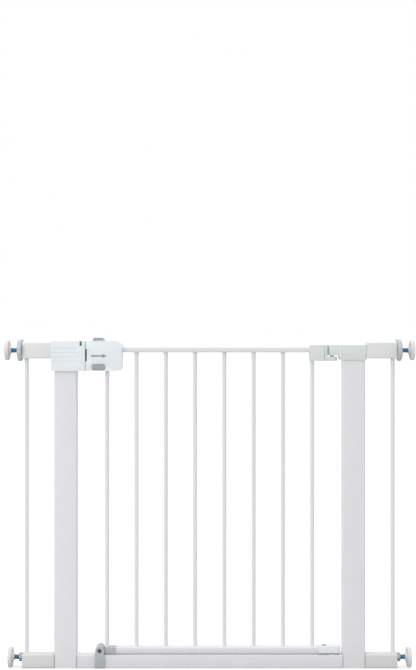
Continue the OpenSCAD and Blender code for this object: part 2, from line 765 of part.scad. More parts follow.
// ---------------------------------------------------------------- handle
module handle_outline(inset) {
    translate([handle_x0 + inset, shell_low + inset])
        corner_rect(handle_len - 2 * inset, shell_h - 2 * inset, 0.8, 12 - inset, 14 - inset, 0.8);
}
module button_outline(grow) {
    translate([button_x, button_z])
        round_rect(button_w + 2 * grow, button_h + 2 * grow, button_r + grow);
}
module handle_shell(y0, y1, in0, in1) {
    half_h = bolt_h / 2 + free_gap;
    difference() {
        union() {
            difference() {
                slab(y0, y1) handle_outline(0);
                slab(in0, in1) handle_outline(shell_wall);
            }
            for (p = handle_screw_sites)
                rod_y(p[0], y0 + 1, y1 - (y1 > 0 ? 1 : 0), boss_d, p[1]);
            block(spring_rib_x, spring_rib_x + rib_t, y0 + 1, y1 - (y1 > 0 ? 1 : 0),
                bolt_z - half_h, bolt_z + half_h);
            block(handle_x0 + 1, spring_rib_x + 1, y0 + 1, y1 - (y1 > 0 ? 1 : 0),
                bolt_z - half_h - rib_t, bolt_z - half_h);
        }
        // the bolt leaves through the end wall
        block(handle_x0 - 1, handle_x0 + shell_wall + 0.5, -bolt_tip_d / 2 - free_gap,
            bolt_tip_d / 2 + free_gap, bolt_z - half_h, bolt_z + half_h);
        // the rail and the first bar come in
        block(handle_x1 - shell_wall - 1, handle_x1 + 1, -rail_d / 2 - fit_gap,
            rail_d / 2 + fit_gap, top_rail_z - fit_gap, top_rail_z + rail_h + fit_gap);
        rod_z(bar_first, shell_low - 1, shell_low + shell_wall + 1, bar_d + 2 * fit_gap);
        // the thumb slide's stem runs in a slot
        block(slot_x0, slot_x1, -stem_d / 2 - free_gap, stem_d / 2 + free_gap,
            top_z - shell_wall - 1, top_z + 1);
        for (p = handle_screw_sites) {
            rod_y(p[0], -shell_d / 2 + 5, shell_d / 2 - sink, screw_d, p[1]);
            rod_y(p[0], shell_d / 2 - sink, shell_d / 2 + 1, screw_head_d + 0.6, p[1]);
        }
    }
}
module handle_front() {
    color("#e3e8ec") difference() {
        handle_shell(-shell_d / 2, 0, -shell_d / 2 + shell_wall, eps);
        slab(-shell_d / 2 - 1, button_back + button_travel + free_gap) button_outline(free_gap);
        block(handle_x0 - 1, handle_x0 + notch_w, -shell_d / 2 - 1, 1,
            bolt_z - bolt_h / 2 + 0.5, bolt_z + bolt_h / 2 - 0.5);
    }
}
module handle_rear() {
    color("#e3e8ec") difference() {
        union() {
            handle_shell(0, shell_d / 2, -eps, shell_d / 2 - shell_wall);
            rod_y(button_x, button_boss_y, shell_d / 2 - 1, 10, button_z);
        }
        rod_y(button_x, button_boss_y - 1, button_boss_y + 7, button_stem_d + 1.2, button_z);
    }
}
module handle_screws() {
    color("#9aa0a6") for (p = handle_screw_sites) shell_screw(p);
}
module latch_bolt() {
    half = bolt_tip_d / 2;
    color("#5b6065") difference() {
        union() {
            block(bolt_x0, bolt_x1, -bolt_d / 2, bolt_d / 2, bolt_z - bolt_h / 2,
                bolt_z + bolt_h / 2);
            translate([0, 0, bolt_z - bolt_h / 2]) linear_extrude(height = bolt_h) polygon([
                [bolt_x0 + 1, -half], [bolt_tip_x + 4, -half], [bolt_tip_x, -half / 2],
                [bolt_tip_x, half / 2], [bolt_tip_x + 4, half], [bolt_x0 + 1, half]
            ]);
        }
        rod_x(bolt_x1 - bolt_pocket_len, bolt_x1 + 1, bolt_pocket_d, bolt_z);
        block(stem_x0 - fit_gap, stem_x0 + stem_len + fit_gap, -stem_d / 2 - fit_gap,
            stem_d / 2 + fit_gap, stem_low - fit_gap, top_z);
    }
}
module thumb_slide() {
    pad_z = top_z + face_gap;
    color("#949ca2") {
        block(stem_x0, stem_x0 + stem_len, -stem_d / 2, stem_d / 2, stem_low, pad_z + 0.5);
        difference() {
            slab(-slide_d / 2, slide_d / 2) polygon([
                [slide_x0, pad_z], [slide_x0 + slide_len, pad_z],
                [slide_x0 + slide_len - 0.9, pad_z + slide_h - 3],
                [slide_x0 + slide_len - 3.2, pad_z + slide_h],
                [slide_x0 + 3.2, pad_z + slide_h], [slide_x0 + 0.9, pad_z + slide_h - 3]
            ]);
            // a sloping scoop for the thumb on each side
            for (flip = [0, 1]) mirror([0, flip, 0])
                run_x(slide_x0 + scoop_in, slide_x0 + slide_len - scoop_in) polygon([
                    [-slide_d / 2 - 1, pad_z + 0.8], [-slide_d / 2 + 0.6, pad_z + 0.8],
                    [-slide_d / 2 + scoop_slope, pad_z + slide_h - slide_ledge],
                    [-slide_d / 2 - 1, pad_z + slide_h - slide_ledge]
                ]);
        }
    }
}
module bolt_spring() {
    color("#b8bcc0") translate([bolt_x1 - bolt_pocket_len + 0.1, 0, bolt_z]) rotate([0, 90, 0])
        coil(spring_rib_x - bolt_x1 + bolt_pocket_len - 0.2, bolt_spring_r, 0.8, 8);
}
module push_button() {
    front = -shell_d / 2 - button_proud;
    color("#949ca2") {
        slab(front, button_back) button_outline(0);
        intersection() {
            slab(button_back - flange_t, button_back) button_outline(flange_w);
            // no flange along the floor of the housing
            block(button_x - button_w, button_x + button_w, front, 0,
                shell_low + shell_wall + free_gap, top_z);
        }
        rod_y(button_x, button_back - 1, button_stem_end, button_stem_d, button_z);
    }
}
module button_spring() {
    color("#b8bcc0") translate([button_x, button_boss_y - 0.1, button_z]) rotate([90, 0, 0])
        coil(button_boss_y - button_back - 0.2, button_spring_r, 0.7, 4);
}

// ---------------------------------------------------------------- spindles
// Left-hand spindle; face is the distance from the middle to the pad's face
module spindle(face, z) {
    color("#3c6f92") rod_x(-face + pad_t - 4, -ext_end + spindle_in, spindle_d, z);
}
module pad(face, z) {
    color("#dcdad6") difference() {
        translate([-face, 0, z]) rotate([0, 90, 0]) rotate_extrude() polygon([
            [0, 0], [pad_d / 2 - 1, 0], [pad_d / 2, 1], [pad_d / 2, pad_t - pad_edge],
            [pad_d / 2 - pad_edge, pad_t], [neck_d0 / 2, pad_t],
            [neck_d1 / 2, pad_t + neck_len], [0, pad_t + neck_len]
        ]);
        rod_x(-face + pad_t - 4, -face + pad_t + neck_len + 1, spindle_d, z);
    }
}
module wheel() {
    x1 = -ext_end - face_gap;
    color("#c6cbce") difference() {
        union() {
            translate([x1 - wheel_t, 0, spindle_top_z]) rotate([0, 90, 0]) rotate_extrude() polygon([
                [0, 0], [wheel_d / 2 - 4, 0], [wheel_d / 2 - 1, 1.2], [wheel_d / 2, 3],
                [wheel_d / 2, wheel_t - 3], [wheel_d / 2 - 1, wheel_t - 1.2],
                [wheel_d / 2 - 4, wheel_t], [0, wheel_t]
            ]);
            translate([x1 - 1, -1.6, spindle_top_z + wheel_d / 2 - 2.8]) cube([3.4, 3.2, 2.7]);
        }
        for (i = [0 : scallops - 1])
            translate([x1 - wheel_t - 1, 0, spindle_top_z]) rotate([360 * (i + 0.5) / scallops, 0, 0])
                translate([0, 0, wheel_d / 2 + 3.2]) rotate([0, 90, 0])
                    cylinder(d = 9, h = wheel_t + 2);
        rod_x(x1 - wheel_t - 1, x1 + 1, spindle_d + 2 * run_gap, spindle_top_z);
    }
}
module nut() {
    x1 = -ext_end - face_gap;
    color("#8f999e") difference() {
        translate([x1 - nut_t, 0, spindle_low_z]) rotate([0, 90, 0])
            cylinder(d = nut_flats / cos(30), h = nut_t, $fn = 6);
        rod_x(x1 - nut_t - 1, x1 + 1, spindle_d + 2 * run_gap, spindle_low_z);
    }
}
module left_top_spindle() { spindle(ext_end + show_top, spindle_top_z); }
module left_top_pad() { pad(ext_end + show_top, spindle_top_z); }
module left_top_wheel() { wheel(); }
module left_bottom_spindle() { spindle(ext_end + show_low, spindle_low_z); }
module left_bottom_pad() { pad(ext_end + show_low, spindle_low_z); }
module left_bottom_nut() { nut(); }
module right_top_spindle() { side(1) left_top_spindle(); }
module right_top_pad() { side(1) left_top_pad(); }
module right_top_wheel() { side(1) left_top_wheel(); }
module right_bottom_spindle() { side(1) left_bottom_spindle(); }
module right_bottom_pad() { side(1) left_bottom_pad(); }
module right_bottom_nut() { side(1) left_bottom_nut(); }

left_post();
right_post();
threshold_bar();
post_foot_plugs();
latch_cap_front();
latch_cap_rear();
latch_cap_screws();
keeper_plate();
indicator_window();
indicator_flag();
flag_spring();
hinge_post_cap();
hinge_cap_screws();
upper_hinge_pin();
lower_hinge_pin();
lower_hinge_base();
lower_hinge_washer();
stop_front_jaw();
stop_rear_jaw();
stop_screw();
stop_nut();
left_top_bracket();
left_bottom_bracket();
right_top_bracket();
right_bottom_bracket();
left_extension_bar();
right_extension_bar();
extension_studs();
door_top_rail();
door_bottom_rail();
door_bars();
door_tongue();
upper_hinge_cover();
upper_hinge_foot();
hinge_cover_screws();
lower_hinge_cap();
lower_cap_screw();
handle_front();
handle_rear();
handle_screws();
latch_bolt();
thumb_slide();
bolt_spring();
push_button();
button_spring();
left_top_spindle();
left_top_pad();
left_top_wheel();
left_bottom_spindle();
left_bottom_pad();
left_bottom_nut();
right_top_spindle();
right_top_pad();
right_top_wheel();
right_bottom_spindle();
right_bottom_pad();
right_bottom_nut();
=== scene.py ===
# %% [markdown]
# # A pressure-mounted safety gate
#
# The real object is a steel U frame that four threaded spindles press against a door opening. A barred
# door hangs in the frame on two pins, and a handle with a spring bolt closes it. Everything below is
# built round a packed mechanical model, which holds the sizes and the motion. Blender adds what that
# model leaves plain: rounded mouldings, weld fillets, real threads, and finishes that catch the light as
# paint, plastic, rubber and zinc do.
#
# The mechanical model loads first, and every size below is read from it, so nothing has to be fitted by
# eye.

# %% Load the mechanical model
import json
import math

import bmesh
import bpy
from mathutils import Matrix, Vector


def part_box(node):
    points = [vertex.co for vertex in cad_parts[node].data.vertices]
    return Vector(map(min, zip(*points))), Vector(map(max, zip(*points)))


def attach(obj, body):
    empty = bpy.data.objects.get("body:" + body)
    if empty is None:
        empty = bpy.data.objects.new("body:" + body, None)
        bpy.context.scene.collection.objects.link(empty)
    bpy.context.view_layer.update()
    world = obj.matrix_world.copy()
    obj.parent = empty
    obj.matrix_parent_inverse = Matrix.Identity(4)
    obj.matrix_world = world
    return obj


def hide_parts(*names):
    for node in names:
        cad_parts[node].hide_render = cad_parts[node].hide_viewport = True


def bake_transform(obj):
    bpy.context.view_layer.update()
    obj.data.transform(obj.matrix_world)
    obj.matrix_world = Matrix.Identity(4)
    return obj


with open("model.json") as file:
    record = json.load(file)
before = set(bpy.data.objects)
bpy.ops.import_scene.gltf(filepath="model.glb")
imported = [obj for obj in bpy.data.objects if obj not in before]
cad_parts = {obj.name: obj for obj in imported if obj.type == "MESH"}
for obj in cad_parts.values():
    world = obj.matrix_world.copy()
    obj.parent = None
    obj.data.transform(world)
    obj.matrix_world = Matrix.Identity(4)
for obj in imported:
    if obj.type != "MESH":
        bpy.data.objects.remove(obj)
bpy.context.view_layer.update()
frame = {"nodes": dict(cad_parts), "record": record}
record = frame["record"]
slot_of = {part["node"]: part["material_slot"] for part in record["subparts"]}
body_of = {node: body for body, nodes in record["behaviour"]["bodies"].items() for node in nodes}
MM = 0.001

# %% [markdown]
# ## How the meshes are made
#
# Nearly every piece of the gate is one of two things: an outline pushed along a line, such as a tube or a
# moulding, or a set of rings round an axis, such as a bar, a pad or a thread. Both are the same mesh: a
# row of loops with equal numbers of points, joined by four-sided faces. So one function skins a row of
# loops, and small functions lay the loops out. This gives even, closed meshes whose points sit only where
# the shape needs them.

# %% Skin a row of loops
def skin(loops, wrap=False):
    """A closed mesh through equally long loops. wrap joins the last loop to the first, as in a tube."""
    shape = bmesh.new()
    rows = [[shape.verts.new(point) for point in loop] for loop in loops]
    count = len(rows[0])
    pairs = list(zip(rows, rows[1:]))
    if wrap:
        pairs.append((rows[-1], rows[0]))
    else:
        shape.faces.new(rows[0][::-1])
        shape.faces.new(rows[-1])
    for one, two in pairs:
        for i in range(count):
            j = (i + 1) % count
            shape.faces.new((one[i], one[j], two[j], two[i]))
    bmesh.ops.recalc_face_normals(shape, faces=shape.faces)
    return shape


AXES = {
    "X": lambda u, v, along: (along, u, v),
    "Y": lambda u, v, along: (u, along, v),
    "Z": lambda u, v, along: (u, v, along),
}


# %% Lay out flat outlines and rings
def arc(u, v, radius, start, stop, steps):
    """Points on a circle's arc, from one angle in degrees to another."""
    angles = [math.radians(start + (stop - start) * i / steps) for i in range(steps + 1)]
    return [(u + radius * math.cos(a), v + radius * math.sin(a)) for a in angles]


def rounded(u0, u1, v0, v1, radius, steps=6):
    """A rectangle's outline with round corners, anticlockwise from the lower left."""
    corners = ((u0, v0, 180), (u1, v0, 270), (u1, v1, 0), (u0, v1, 90))
    outline = []
    for u, v, start in corners:
        centre_u = u + radius if u == u0 else u - radius
        centre_v = v + radius if v == v0 else v - radius
        outline += arc(centre_u, centre_v, radius, start, start + 90, steps)
    return outline


def loop_at(outline, axis, along):
    return [AXES[axis](u, v, along) for u, v in outline]


def prism(outline, axis, start, stop):
    """An outline pushed along an axis into a solid bar."""
    return skin([loop_at(outline, axis, start), loop_at(outline, axis, stop)])


def ring(centre, radius, axis, along, steps):
    """One ring round an axis. radius may be a function of the angle."""
    points = []
    for i in range(steps):
        a = 2 * math.pi * i / steps
        r = radius(a) if callable(radius) else radius
        points.append(AXES[axis](centre[0] + r * math.cos(a), centre[1] + r * math.sin(a), along))
    return points


def turned(profile, centre, axis, steps=48, wrap=False):
    """A shape turned on a lathe from (radius, station) pairs. wrap closes the profile, for a bore."""
    return skin([ring(centre, r, axis, along, steps) for r, along in profile], wrap)


print("a 12 mm outline has", len(rounded(0, 12 * MM, 0, 12 * MM, 3 * MM)), "points")

# %% [markdown]
# ## Starting from the mechanical part
#
# A moulded housing has ribs, screw bosses and slots that the mechanical model already holds exactly, but
# all its edges are knife sharp. No moulded part is: the tool rounds every edge, and that small radius is
# what catches a line of light. So for those pieces the mesh of the mechanical part is copied into a new
# mesh, its flat triangles are merged back into whole faces, and its edges are rounded. The mechanical
# part itself stays as it is and is hidden.

# %% Copy and round a mechanical part
def copied(node):
    """A part's mesh as a new mesh with whole flat faces."""
    source = frame["nodes"][node].data
    shape = bmesh.new()
    corners = [shape.verts.new(vertex.co) for vertex in source.vertices]
    for face in source.polygons:
        shape.faces.new([corners[i] for i in face.vertices])
    bmesh.ops.remove_doubles(shape, verts=shape.verts, dist=0.002 * MM)
    flat = math.radians(0.6)
    bmesh.ops.dissolve_limit(shape, angle_limit=flat, verts=shape.verts, edges=shape.edges)
    bmesh.ops.recalc_face_normals(shape, faces=shape.faces)
    return shape


def rounded_edges(shape, radius, steps=3, where=None, sharper_than=30):
    """Rounds the edges whose faces meet at more than an angle. where picks among them by middle point."""
    limit = math.radians(sharper_than)
    picked = []
    for edge in shape.edges:
        if len(edge.link_faces) != 2 or edge.calc_face_angle() < limit:
            continue
        middle = (edge.verts[0].co + edge.verts[1].co) / 2
        if where is None or where(middle):
            picked.append(edge)
    bmesh.ops.bevel(
        shape, geom=picked, offset=radius, segments=steps, profile=0.5, affect="EDGES", clamp_overlap=True
    )
    return shape


# %% [markdown]
# ## Cutting one shape with another
#
# Screw heads have driver slots, and rails have holes that the bars stand in. A boolean does that cut. It
# needs two objects for a moment, so the function makes them, takes the finished mesh and clears them
# away.

# %% Cut or join shapes
def scratch_object(shape):
    mesh = bpy.data.meshes.new("scratch")
    shape.to_mesh(mesh)
    shape.free()
    made = bpy.data.objects.new("scratch", mesh)
    bpy.context.scene.collection.objects.link(made)
    return made


def combined(shape, tools, operation="DIFFERENCE"):
    """Cuts the tools out of a shape, or joins them to it with operation UNION."""
    work = scratch_object(shape)
    helpers = [scratch_object(tool) for tool in tools]
    for helper in helpers:
        cut = work.modifiers.new("cut", "BOOLEAN")
        cut.operation = operation
        cut.solver = "EXACT"
        cut.object = helper
    graph = bpy.context.evaluated_depsgraph_get()
    mesh = bpy.data.meshes.new_from_object(work.evaluated_get(graph))
    result = bmesh.new()
    result.from_mesh(mesh)
    for extra in (work, *helpers):
        data = extra.data
        bpy.data.objects.remove(extra)
        bpy.data.meshes.remove(data)
    bpy.data.meshes.remove(mesh)
    return result


# %% [markdown]
# ## Giving a finish
#
# A finish is a small network of nodes. The base shader is the same for all of them, so one function adds
# a node with its settings and its links, and one turns the hex colours that painters use into the linear
# values that light needs.

# %% Node and colour helpers
def linear(hex_colour):
    """An sRGB hex colour such as #e3e8ec as linear red, green, blue and alpha."""
    channels = [int(hex_colour[i : i + 2], 16) / 255 for i in (1, 3, 5)]
    return [c / 12.92 if c <= 0.04045 else ((c + 0.055) / 1.055) ** 2.4 for c in channels] + [1.0]


def add(tree, kind, inputs=(), **settings):
    """Adds a shader node. inputs pairs a socket with a value or with another node's output."""
    node = tree.nodes.new("ShaderNode" + kind)
    for name, value in settings.items():
        setattr(node, name, value)
    for socket, value in inputs:
        if isinstance(value, bpy.types.NodeSocket):
            tree.links.new(value, node.inputs[socket])
        else:
            node.inputs[socket].default_value = value
    return node


def per_mm(size):
    """The noise scale that gives features of a size in millimetres."""
    return 1 / (size * MM)


print("housing white is", [round(c, 3) for c in linear("#e3e8ec")])

# %% [markdown]
# ### What all the finishes share
#
# Every surface here has three things that a flat colour lacks: a grain that the process left in it, which
# bends the highlights; a slow drift in colour, because paint and plastic are never even; and patches that
# hands have polished. The grain is given in real millimetres. Noise is measured in the piece's own space,
# so it rides along when the door moves.

# %% The shared base of a finish
def base_finish(name, light, dark, rough, grain_mm, grain_height_mm, drift_mm=45, **shader):
    """A finish with a grain, a colour drift between light and dark, and a roughness range."""
    material = bpy.data.materials.new(name)
    material.use_nodes = True
    tree = material.node_tree
    surface = tree.nodes["Principled BSDF"]
    for socket, value in shader.items():
        surface.inputs[socket.replace("_", " ")].default_value = value
    place = add(tree, "TexCoord").outputs["Object"]
    drift = add(tree, "TexNoise", (("Vector", place), ("Scale", per_mm(drift_mm)), ("Detail", 4.0)))
    tint = add(
        tree, "Mix", ((0, drift.outputs["Fac"]), (6, linear(dark)), (7, linear(light))), data_type="RGBA"
    )
    polish = add(tree, "TexNoise", (("Vector", place), ("Scale", per_mm(drift_mm / 5)), ("Detail", 3.0)))
    gloss = add(
        tree, "MapRange", (("Value", polish.outputs["Fac"]), ("To Min", rough[0]), ("To Max", rough[1]))
    )
    grain = add(tree, "TexNoise", (("Vector", place), ("Scale", per_mm(grain_mm)), ("Detail", 2.0)))
    relief = grain_height_mm * MM
    bump = add(tree, "Bump", (("Height", grain.outputs["Fac"]), ("Distance", relief), ("Strength", 1.0)))
    tree.links.new(tint.outputs[2], surface.inputs["Base Color"])
    tree.links.new(gloss.outputs[0], surface.inputs["Roughness"])
    tree.links.new(bump.outputs[0], surface.inputs["Normal"])
    return material


# %% [markdown]
# ### Powder-coated steel
#
# The tubes are sprayed with dry polyester powder and baked. The powder melts into a tough skin with a
# faint orange peel, about 2 mm from dimple to dimple, and a satin gloss. Shoes and mops leave a thin grey
# film near the floor, so a mask that fades with height darkens the lowest few centimetres a little.

# %% Powder coat
FILM_TOP = 60 * MM
FILM_AT_FLOOR = 0.2


def powder_coat(name, light, dark):
    material = base_finish(name, light, dark, (0.3, 0.42), 2.2, 0.005, IOR=1.5)
    tree = material.node_tree
    surface = tree.nodes["Principled BSDF"]
    tint = surface.inputs["Base Color"].links[0].from_socket
    place = add(tree, "TexCoord").outputs["Object"]
    height = add(tree, "SeparateXYZ", (("Vector", place),)).outputs["Z"]
    fade = (("Value", height), ("From Max", FILM_TOP), ("To Min", FILM_AT_FLOOR), ("To Max", 0.0))
    low = add(tree, "MapRange", fade)
    film = add(tree, "TexNoise", (("Vector", place), ("Scale", per_mm(14)), ("Detail", 6.0)))
    amount = add(tree, "Math", ((0, low.outputs[0]), (1, film.outputs["Fac"])), operation="MULTIPLY")
    worn = add(
        tree, "Mix", ((0, amount.outputs[0]), (6, tint), (7, linear("#bdbab6"))), data_type="RGBA"
    )
    tree.links.new(worn.outputs[2], surface.inputs["Base Color"])
    return material


# %% [markdown]
# ### Moulded ABS
#
# The housings, brackets, wheels and buttons are injection-moulded ABS. The steel mould was spark-eroded,
# which leaves an even matt texture of pits a few tenths of a millimetre across. That is too fine to show
# from a few paces, so it is drawn at 0.7 mm. Hands polish the texture in patches, which the roughness
# follows.

# %% Moulded ABS
def moulded_abs(name, light, dark, rough=(0.34, 0.46)):
    return base_finish(name, light, dark, rough, 0.7, 0.0015, drift_mm=30, IOR=1.53)


# %% [markdown]
# ### Zinc, blue and bright
#
# The spindles are steel with a thin zinc plate that a blue chromate bath has sealed. The film is thinner
# than a wavelength of light, so its blue drifts between light and dark along the rod. A fine grain stands
# for the marks that the rolling die left. Nuts, pins and screws are the same plate without the blue.

# %% Plated steel
def plated_zinc(name, light, dark, rough):
    return base_finish(name, light, dark, rough, 0.5, 0.004, drift_mm=9, Metallic=1.0)


# %% [markdown]
# ### The rest: rubber, nylon, spring wire, the indicator and its window
#
# The wall pads are a soft thermoplastic rubber, dull and warm. The bolt and its keeper are grey
# glass-filled nylon, a little cloudy where the fibres reach the surface. Spring wire is drawn through a
# die, so it is smooth and bright. The indicator flag is painted in two zones: the green one stands behind
# the window while the bolt is home, and the red one when the bolt is drawn. The window is polycarbonate
# with a green tint. The tint is strong, so the window looks green over the red zone too; a clearer tint
# would let the red show.

# %% Rubber, nylon, wire and window
def soft_rubber(name, light, dark):
    return base_finish(name, light, dark, (0.55, 0.7), 1.1, 0.02, drift_mm=20, IOR=1.5)


def filled_nylon(name, light, dark):
    return base_finish(name, light, dark, (0.42, 0.6), 0.8, 0.015, drift_mm=6, IOR=1.53)


def drawn_wire(name, light, dark):
    return base_finish(name, light, dark, (0.2, 0.32), 0.4, 0.003, drift_mm=8, Metallic=1.0)


def indicator_paint(name, edge_x):
    """Green above a station along X and red below it."""
    material = base_finish(name, "#1f9400", "#198a00", (0.4, 0.5), 0.8, 0.003, IOR=1.5)
    tree = material.node_tree
    surface = tree.nodes["Principled BSDF"]
    green = surface.inputs["Base Color"].links[0].from_socket
    place = add(tree, "TexCoord").outputs["Object"]
    along = add(tree, "SeparateXYZ", (("Vector", place),)).outputs["X"]
    home = add(tree, "Math", ((0, along), (1, edge_x)), operation="GREATER_THAN")
    zones = add(tree, "Mix", ((0, home.outputs[0]), (6, linear("#c8281e")), (7, green)), data_type="RGBA")
    tree.links.new(zones.outputs[2], surface.inputs["Base Color"])
    return material


def clear_polycarbonate(name):
    return base_finish(
        name, "#74cf45", "#6cc83d", (0.02, 0.05), 6.0, 0.001, IOR=1.585, Transmission_Weight=0.75
    )


# %% Make the finishes
window_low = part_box("indicator_window")[0]
finishes = {
    "white_steel": powder_coat("powder_coated_steel", "#e3e3e6", "#dfdfe3"),
    "white_plastic": moulded_abs("white_abs", "#e6ebee", "#e3e8ec"),
    "grey_plastic": moulded_abs("grey_abs", "#c0c5c9", "#b9bfc3"),
    "dark_plastic": filled_nylon("glass_filled_nylon", "#8d9398", "#82888d"),
    "green_plastic": indicator_paint("indicator_paint", window_low.x - 0.1 * MM),
    "clear_plastic": clear_polycarbonate("clear_polycarbonate"),
    "blue_zinc": plated_zinc("blue_zinc_plate", "#5a97bd", "#2c6c92", (0.14, 0.24)),
    "bright_zinc": plated_zinc("bright_zinc_plate", "#b4bbc0", "#98a2a6", (0.28, 0.42)),
    "spring_steel": drawn_wire("drawn_spring_wire", "#c9ccce", "#b3b8bc"),
    "pad_rubber": soft_rubber("pad_rubber", "#dedbda", "#d7d4d3"),
}
button_abs = moulded_abs("button_abs", "#9fa8ae", "#969fa5")
slide_abs = moulded_abs("slide_abs", "#bac2c8", "#b1b9bf")
stop_abs = moulded_abs("stop_abs", "#b4bbbd", "#adb4b7")
bracket_abs = moulded_abs("bracket_abs", "#e0e2e1", "#dddfde")
# The lower brackets are the same white moulding as the upper ones. Their darker copy of the colour is
# painted shade, standing in for the weaker light they get near the floor.
lower_bracket_painted_shade_abs = moulded_abs("lower_bracket_painted_shade_abs", "#d8d8d7", "#d5d5d4")
hinge_abs = moulded_abs("hinge_abs", "#dadedd", "#d7dbda")
black_screw = plated_zinc("black_zinc_plate", "#6a7073", "#4c5154", (0.3, 0.45))
print("finishes", ", ".join(sorted(m.name for m in finishes.values())))

# %% [markdown]
# ## Turning a mesh into a piece
#
# A finished mesh becomes a piece of the gate: it stands for one mechanical part, moves with that part's
# body and takes the part's finish. The model's own tables say which body and finish that is.

# %% Make a piece
def piece(node, shape, finish=None, smooth_below=38):
    """Makes the mesh into the piece that stands for a mechanical part."""
    mesh = bpy.data.meshes.new(node + "_piece")
    shape.normal_update()
    shape.to_mesh(mesh)
    shape.free()
    mesh.materials.append(finish or finishes[slot_of[node]])
    mesh.shade_smooth()
    mesh.set_sharp_from_angle(angle=math.radians(smooth_below))
    made = bpy.data.objects.new(node + "_piece", mesh)
    bpy.context.scene.collection.objects.link(made)
    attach(made, body_of[node])
    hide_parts(node)
    return made


# %% [markdown]
# ## The steel frame
#
# Two tall posts are 50 by 25 mm tube with 4 mm corners, and the threshold between them is a flatter tube
# that people step over. It is welded to the posts all round, and the powder runs into the weld, so its
# ends flare out a little.

# %% Posts and threshold
TUBE_WALL = 1.5 * MM


def tube(node, axis, radius, wall, flares=((0, 0), (0, 1))):
    """A hollow tube in a part's box. flares are (how much wider, how far along from 0 to 1)."""
    low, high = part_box(node)
    start, stop = getattr(low, axis.lower()), getattr(high, axis.lower())
    across = {"X": (low.y, high.y, low.z, high.z), "Z": (low.x, high.x, low.y, high.y)}[axis]
    inner = rounded(across[0] + wall, across[1] - wall, across[2] + wall, across[3] - wall, radius - wall)
    loops = []
    for wider, share in flares:
        u0, u1, v0, v1 = across[0] - wider, across[1] + wider, across[2] - wider, across[3] + wider
        outline = rounded(u0, u1, max(v0, 0.0) if axis == "X" else v0, v1, radius + wider)
        loops.append(loop_at(outline, axis, start + (stop - start) * share))
    loops += [loop_at(inner, axis, stop), loop_at(inner, axis, start)]
    return skin(loops, wrap=True)


for post in ("left_post", "right_post"):
    piece(post, tube(post, "Z", 4 * MM, TUBE_WALL))

low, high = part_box("threshold_bar")
length = high.x - low.x
BEAD = ((1.1, 0), (0.5, 0.7), (0.15, 1.7), (0, 3.0))
near_end = [(wider * MM, along * MM / length) for wider, along in BEAD]
far_end = [(wider, 1 - share) for wider, share in reversed(near_end)]
piece("threshold_bar", tube("threshold_bar", "X", 2 * MM, TUBE_WALL, near_end + far_end))
print("threshold", round(length / MM, 1), "mm long")

# %% [markdown]
# ## The door's bars and rails
#
# The door is eight 9 mm tubes between two flat rails, joined by a small weld all round each end. The bead
# is easy to leave out and hard to miss once it is there: without it the bars look stuck on. Each bar is
# turned from one profile that widens at both rails, so the fillet is part of the mesh.

# %% Bars with welded ends
BAR_WALL = 1.2 * MM
BAR_COUNT = 8
WELD = ((1.5, 0), (0.75, 0.5), (0.3, 1.1), (0.08, 1.9), (0, 3.0))


def welded_bar(x, bottom, top, weld_low, weld_high, radius):
    """A tube with a weld bead at the lower rail and, unless weld_high is None, at the upper one."""
    profile = [(radius, bottom), (radius, weld_low - 0.2 * MM)]
    profile += [(radius + wider * MM, weld_low + rise * MM) for wider, rise in WELD]
    if weld_high is not None:
        profile += [(radius + wider * MM, weld_high - rise * MM) for wider, rise in reversed(WELD)]
        profile.append((radius, weld_high + 0.2 * MM))
    profile.append((radius, top))
    profile += [(radius - BAR_WALL, top), (radius - BAR_WALL, bottom)]
    return turned(profile, (x, 0), "Z", 32, wrap=True)


def joined(shapes):
    """Several separate meshes as one."""
    whole = bmesh.new()
    for shape in shapes:
        mesh = bpy.data.meshes.new("scratch")
        shape.to_mesh(mesh)
        shape.free()
        whole.from_mesh(mesh)
        bpy.data.meshes.remove(mesh)
    return whole


bars_low, bars_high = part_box("door_bars")
bar_radius = (bars_high.y - bars_low.y) / 2
first_x, last_x = bars_low.x + bar_radius, bars_high.x - bar_radius
bar_x = [first_x + (last_x - first_x) * i / (BAR_COUNT - 1) for i in range(BAR_COUNT)]
rail_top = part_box("door_bottom_rail")[1].z
rail_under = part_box("door_top_rail")[0].z
seat = bars_high.z - rail_under
bars = []
for i, x in enumerate(bar_x):
    bottom = bars_low.z if i == 0 else rail_top - seat
    in_cover = i == BAR_COUNT - 1
    bars.append(welded_bar(x, bottom, bars_high.z, rail_top, None if in_cover else rail_under, bar_radius))
piece("door_bars", joined(bars))
print("bar pitch", round((bar_x[1] - bar_x[0]) / MM, 2), "mm")

# %% [markdown]
# The rails are tubes with soft corners, pierced where the bars go in. The holes are cut after the tube is
# skinned.

# %% Rails
RAIL_WALL = 1.2 * MM
rails = (("door_top_rail", rail_under, bar_x), ("door_bottom_rail", rail_top, bar_x[1:]))
for node, end_z, holes in rails:
    drills = []
    for x in holes:
        drill = [(bar_radius, end_z - 2 * MM), (bar_radius, end_z + 2 * MM)]
        drills.append(turned(drill, (x, 0), "Z", 32))
    piece(node, combined(tube(node, "X", 2.5 * MM, RAIL_WALL), [joined(drills)]))

# %% Extension bars
for side in ("left", "right"):
    node = side + "_extension_bar"
    low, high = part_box(node)
    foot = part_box(side + "_bottom_bracket")[1].z
    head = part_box(side + "_top_bracket")[0].z
    radius = (high.y - low.y) / 2
    centre_x = (low.x + high.x) / 2
    piece(node, welded_bar(centre_x, low.z, high.z, foot, head, radius))

# %% [markdown]
# ## The moulded housings
#
# The handle and the latch cap are pairs of shells, split down the middle of the gate's depth. The
# handle's front has a rim with a generous radius that a thumb can feel, and its parting face, where the
# bolt crosses, is crisp. So its rim is rounded first, by picking edges on the outer face, and every other
# edge gets only the small radius that a mould leaves. The other three shells have one radius all over.

# %% Handle and latch cap shells
RIM = 2.0 * MM
MOULD_EDGE = 0.25 * MM
NEAR = 0.05 * MM


